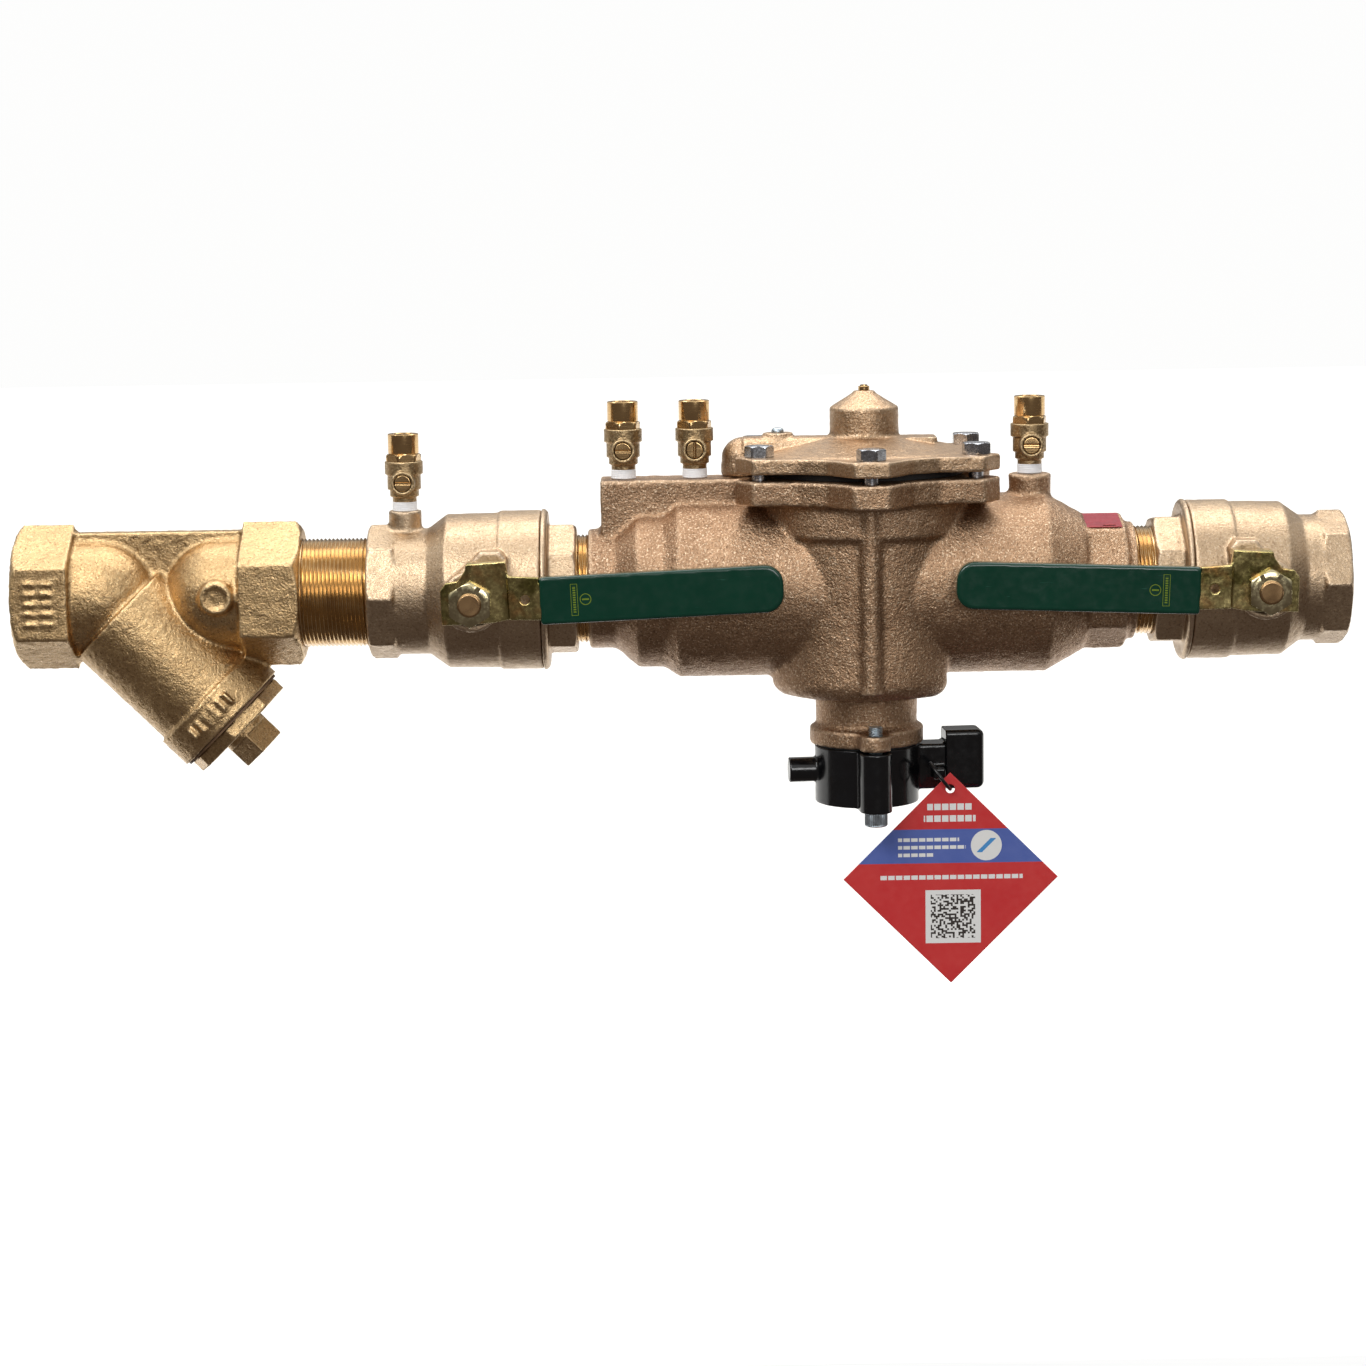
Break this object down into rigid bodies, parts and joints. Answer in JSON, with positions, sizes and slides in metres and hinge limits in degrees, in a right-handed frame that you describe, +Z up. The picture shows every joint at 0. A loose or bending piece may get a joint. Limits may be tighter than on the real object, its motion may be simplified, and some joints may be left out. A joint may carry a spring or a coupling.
{
  "type": "backflow preventer",
  "caption": "Bronze reduced-pressure backflow preventer with a Y-strainer, lever ball valves, test cocks and a covered relief valve with a drain sensor and tag.",
  "frame": {"origin": "centre of the inlet port's mouth, on the pipe axis", "axes": "+X along the flow from inlet to outlet, +Y to the back, away from the levers, +Z up"},
  "size_m": [0.7346, 0.1568, 0.3336],
  "materials": {
    "strainer_bronze": "sand-cast bronze, golden and grainy",
    "valve_bronze": "shot-blasted cast bronze, pale tan",
    "body_bronze": "sand-cast bronze, brown and speckled",
    "pipe_brass": "turned brass, bright",
    "cock_brass": "cast and machined brass",
    "stem_brass": "machined brass",
    "lever_steel": "yellow zinc-plated steel",
    "nut_steel": "dark zinc-plated steel",
    "grip_vinyl": "dark green dipped vinyl",
    "ball_chrome": "polished chrome",
    "bolt_steel": "dark blue-grey steel",
    "screw_zinc": "bright zinc-plated steel",
    "spring_steel": "stainless spring wire",
    "check_plastic": "moulded off-white plastic",
    "relief_seat_metal": "machined bronze",
    "seal_rubber": "black elastomer",
    "seal_ptfe": "white fluoropolymer",
    "nameplate_red": "red lacquered plate",
    "sensor_plastic": "black moulded plastic",
    "tag_card": "printed plastic card",
    "tie_plastic": "black nylon"
  },
  "bodies": {
    "root": {"strainer_body": "strainer_bronze", "strainer_cap": "strainer_bronze", "strainer_plug": "strainer_bronze", "inlet_valve_body": "valve_bronze", "inlet_valve_tailpiece": "valve_bronze", "outlet_valve_body": "valve_bronze", "outlet_valve_tailpiece": "valve_bronze", "main_body": "body_bronze", "cover": "body_bronze", "strainer_nipple": "pipe_brass", "inlet_nipple": "pipe_brass", "outlet_nipple": "pipe_brass", "test_cock_1_body": "cock_brass", "test_cock_2_body": "cock_brass", "test_cock_3_body": "cock_brass", "test_cock_4_body": "cock_brass", "test_cock_ends": "cock_brass", "valve_gland_nuts": "stem_brass", "bleed_screw": "stem_brass", "cover_bolts": "bolt_steel", "sensor_screws": "screw_zinc", "sensing_plug": "screw_zinc", "check_1_spring": "spring_steel", "check_2_spring": "spring_steel", "relief_spring": "spring_steel", "strainer_screen": "spring_steel", "check_1_seat": "check_plastic", "check_2_seat": "check_plastic", "relief_guide": "check_plastic", "relief_seat": "relief_seat_metal", "relief_diaphragm": "seal_rubber", "strainer_cap_gasket": "seal_rubber", "sensor_gasket": "seal_rubber", "valve_seals": "seal_ptfe", "nameplate": "nameplate_red", "sensor_housing": "sensor_plastic", "tag_tie": "tie_plastic"},
    "inlet_shutoff": {"inlet_valve_ball": "ball_chrome", "inlet_valve_stem": "stem_brass", "inlet_valve_handle": "lever_steel", "inlet_valve_grip": "grip_vinyl", "inlet_valve_handle_nut": "nut_steel"},
    "outlet_shutoff": {"outlet_valve_ball": "ball_chrome", "outlet_valve_stem": "stem_brass", "outlet_valve_handle": "lever_steel", "outlet_valve_grip": "grip_vinyl", "outlet_valve_handle_nut": "nut_steel"},
    "first_check": {"check_1_poppet": "check_plastic", "check_1_disc": "seal_rubber"},
    "second_check": {"check_2_poppet": "check_plastic", "check_2_disc": "seal_rubber"},
    "relief_stem_assembly": {"relief_stem": "stem_brass", "relief_disc": "seal_rubber", "relief_piston": "check_plastic"},
    "flow_tag": {"tag": "tag_card"},
    "connector_cap": {"sensor_cap": "sensor_plastic"},
    "cock_plug_1": {"test_cock_1_plug": "stem_brass"},
    "cock_plug_2": {"test_cock_2_plug": "stem_brass"},
    "cock_plug_3": {"test_cock_3_plug": "stem_brass"},
    "cock_plug_4": {"test_cock_4_plug": "stem_brass"}
  },
  "joints": [
    {"name": "inlet_lever", "type": "hinge", "parent": "root", "child": "inlet_shutoff", "pos_m": [0.2534, 0, 0], "axis": [0, 1, 0], "range_deg": [0, 90]},
    {"name": "outlet_lever", "type": "hinge", "parent": "root", "child": "outlet_shutoff", "pos_m": [0.6839, 0, 0], "axis": [0, -1, 0], "range_deg": [0, 90]},
    {"name": "test_cock_1_turn", "type": "hinge", "parent": "root", "child": "cock_plug_1", "pos_m": [0.215, 0, 0.061], "axis": [0, 1, 0], "range_deg": [0, 90]},
    {"name": "test_cock_2_turn", "type": "hinge", "parent": "root", "child": "cock_plug_2", "pos_m": [0.3364, 0, 0.0769], "axis": [0, 1, 0], "range_deg": [0, 90]},
    {"name": "test_cock_3_turn", "type": "hinge", "parent": "root", "child": "cock_plug_3", "pos_m": [0.3758, 0, 0.0769], "axis": [0, 1, 0], "range_deg": [0, 90]},
    {"name": "test_cock_4_turn", "type": "hinge", "parent": "root", "child": "cock_plug_4", "pos_m": [0.5609, 0, 0.0765], "axis": [0, 1, 0], "range_deg": [0, 90]},
    {"name": "check_1_lift", "type": "slide", "parent": "root", "child": "first_check", "axis": [1, 0, 0], "range_m": [0, 0.012], "stiffness_N_per_m": 600, "springref_m": -0.01, "deforming": ["check_1_spring"]},
    {"name": "check_2_lift", "type": "slide", "parent": "root", "child": "second_check", "axis": [1, 0, 0], "range_m": [0, 0.012], "stiffness_N_per_m": 400, "springref_m": -0.01, "deforming": ["check_2_spring"]},
    {"name": "relief_close", "type": "slide", "parent": "root", "child": "relief_stem_assembly", "axis": [0, 0, -1], "range_m": [0, 0.007], "stiffness_N_per_m": 1500, "springref_m": -0.01, "deforming": ["relief_spring", "relief_diaphragm"]},
    {"name": "tag_swing", "type": "hinge", "parent": "root", "child": "flow_tag", "pos_m": [0.5147, -0.0206, -0.1126], "axis": [0, 1, 0], "range_deg": [-60, 6]},
    {"name": "sensor_cap_pull", "type": "slide", "parent": "root", "child": "connector_cap", "axis": [0.9962, 0.0872, 0], "range_m": [0, 0.02]}
  ]
}
